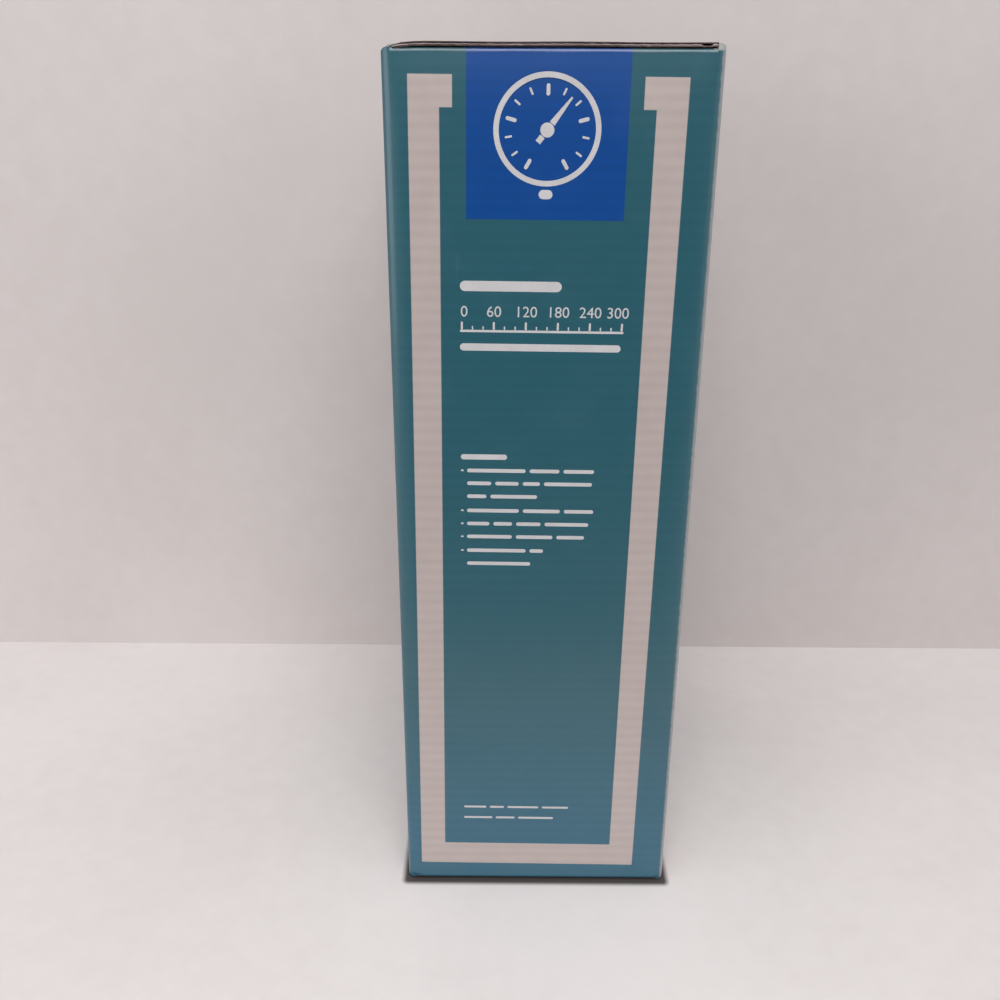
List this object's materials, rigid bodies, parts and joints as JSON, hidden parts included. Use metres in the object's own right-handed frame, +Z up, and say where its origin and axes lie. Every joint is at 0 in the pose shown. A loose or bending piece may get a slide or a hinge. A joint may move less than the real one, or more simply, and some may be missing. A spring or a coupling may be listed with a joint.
{
  "type": "boxed aneroid sphygmomanometer kit",
  "caption": "Tall printed tuck-top carton holding a hand-held aneroid blood pressure kit: folded cuff, tubes, inflation bulb with release valve, round dial gauge, zipped pouch and screwdriver.",
  "frame": {"origin": "middle of the carton's underside, on the surface it stands on", "axes": "+Z up; -Y is the narrow printed panel seen in the picture; -X is the wide panel that carries the lid's hinge"},
  "size_m": [0.0816, 0.116, 0.2465],
  "materials": {
    "printed_board": "E-flute board, litho printed teal and satin laminated outside, brown inside",
    "pouch_nylon": "coated woven nylon",
    "cuff_nylon": "coated woven nylon",
    "black_tape": "woven binding tape",
    "hook_tape": "hook tape",
    "loop_tape": "brushed loop tape",
    "black_plastic": "moulded",
    "zip_metal": "black lacquered zinc",
    "pvc": "smooth matte soft PVC",
    "soft_rubber": "smooth matte synthetic rubber",
    "ball_rubber": "smooth",
    "chromed": "polished",
    "steel": "turned",
    "brass": "turned",
    "case_enamel": "black enamel",
    "dial_enamel": "white enamel, printed scale",
    "pointer_black": "black",
    "lens": "clear",
    "grip_plastic": "translucent red"
  },
  "bodies": {
    "carton_and_kit": {"carton_front_panel": "printed_board", "carton_back_panel": "printed_board", "carton_left_panel": "printed_board", "carton_right_panel": "printed_board", "carton_glue_flap": "printed_board", "bottom_cover": "printed_board", "bottom_flap_front": "printed_board", "bottom_flap_back": "printed_board", "pouch_inner_wall": "pouch_nylon", "pouch_outer_wall": "pouch_nylon", "pouch_binding": "black_tape", "zip_tapes": "black_tape", "zip_teeth_chain": "black_plastic", "cuff_shell": "cuff_nylon", "cuff_lining": "cuff_nylon", "cuff_binding": "black_tape", "hook_patch": "hook_tape", "loop_patch": "loop_tape", "bladder": "pvc", "gauge_tube": "pvc", "bulb_tube": "pvc", "inflation_bulb": "soft_rubber", "inlet_valve": "chromed", "valve_body": "chromed", "gauge_case": "case_enamel", "gauge_nipple": "chromed", "capsule": "brass", "movement_plate": "brass", "movement_pillars": "brass", "plate_screws": "steel", "hairspring": "brass", "gauge_dial": "dial_enamel", "gauge_lens": "lens", "gauge_bezel": "chromed", "driver_grip": "grip_plastic", "driver_shank": "steel"},
    "lid": {"top_lid": "printed_board"},
    "tuck": {"tuck_flap": "printed_board"},
    "dust_front": {"dust_flap_front": "printed_board"},
    "dust_back": {"dust_flap_back": "printed_board"},
    "slider": {"zip_slider": "zip_metal"},
    "pull": {"zip_pull": "zip_metal"},
    "pointer": {"pointer_arbor": "steel", "gauge_pointer": "pointer_black"},
    "sector": {"sector_gear": "brass"},
    "diaphragm": {"capsule_top": "brass"},
    "knob": {"release_knob": "chromed"},
    "needle": {"valve_needle": "brass"},
    "zero": {"zero_screw": "steel"},
    "ball": {"inlet_check_ball": "ball_rubber"}
  },
  "joints": [
    {"name": "lid_hinge", "type": "hinge", "parent": "carton_and_kit", "child": "lid", "pos_m": [-0.0408, 0, 0.2465], "axis": [0, -1, 0], "range_deg": [0, 160]},
    {"name": "tuck_fold", "type": "hinge", "parent": "lid", "child": "tuck", "pos_m": [0.0391, 0, 0.2465], "axis": [0, -1, 0], "range_deg": [0, 48]},
    {"name": "dust_front_fold", "type": "hinge", "parent": "carton_and_kit", "child": "dust_front", "pos_m": [0, -0.058, 0.2449], "axis": [1, 0, 0], "range_deg": [0, 80]},
    {"name": "dust_back_fold", "type": "hinge", "parent": "carton_and_kit", "child": "dust_back", "pos_m": [0, 0.058, 0.2449], "axis": [-1, 0, 0], "range_deg": [0, 80]},
    {"name": "zip_slide", "type": "slide", "parent": "carton_and_kit", "child": "slider", "axis": [0, -1, 0], "range_m": [0, 0.072]},
    {"name": "zip_pull_swing", "type": "hinge", "parent": "slider", "child": "pull", "pos_m": [-0.0363, 0.036, 0.21255], "axis": [-1, 0, 0], "range_deg": [0, 180]},
    {"name": "pointer_turn", "type": "hinge", "parent": "carton_and_kit", "child": "pointer", "pos_m": [0, -0.018, 0.22], "axis": [0, 0, -1], "range_deg": [0, 310]},
    {"name": "sector_turn", "type": "hinge", "parent": "carton_and_kit", "child": "sector", "pos_m": [0, -0.02835, 0.219], "axis": [0, 0, 1], "range_deg": [0, 43.07]},
    {"name": "capsule_swell", "type": "slide", "parent": "carton_and_kit", "child": "diaphragm", "axis": [0, 0, 1], "range_m": [0, 0.0008]},
    {"name": "release_knob_turn", "type": "hinge", "parent": "carton_and_kit", "child": "knob", "pos_m": [0.013, 0.0332, 0.11], "axis": [0, 0, 1], "range_deg": [0, 360]},
    {"name": "needle_lift", "type": "slide", "parent": "carton_and_kit", "child": "needle", "axis": [0, 0, 1], "range_m": [0, 0.0012]},
    {"name": "zero_screw_turn", "type": "hinge", "parent": "carton_and_kit", "child": "zero", "pos_m": [0, -0.018, 0.2122], "axis": [0.766, 0.6428, 0], "range_deg": [-90, 90]},
    {"name": "inlet_ball_lift", "type": "slide", "parent": "carton_and_kit", "child": "ball", "axis": [0, 0, 1], "range_m": [0, 0.001]}
  ],
  "couplings": [
    {"joint": "tuck_fold", "follows": "lid_hinge", "ratio": 0.3},
    {"joint": "dust_front_fold", "follows": "lid_hinge", "ratio": 0.5},
    {"joint": "dust_back_fold", "follows": "lid_hinge", "ratio": 0.5},
    {"joint": "pointer_turn", "follows": "capsule_swell", "rad_per_m": 6762.7},
    {"joint": "sector_turn", "follows": "capsule_swell", "rad_per_m": 939.26},
    {"joint": "release_knob_turn", "follows": "needle_lift", "rad_per_m": 5235.5}
  ]
}
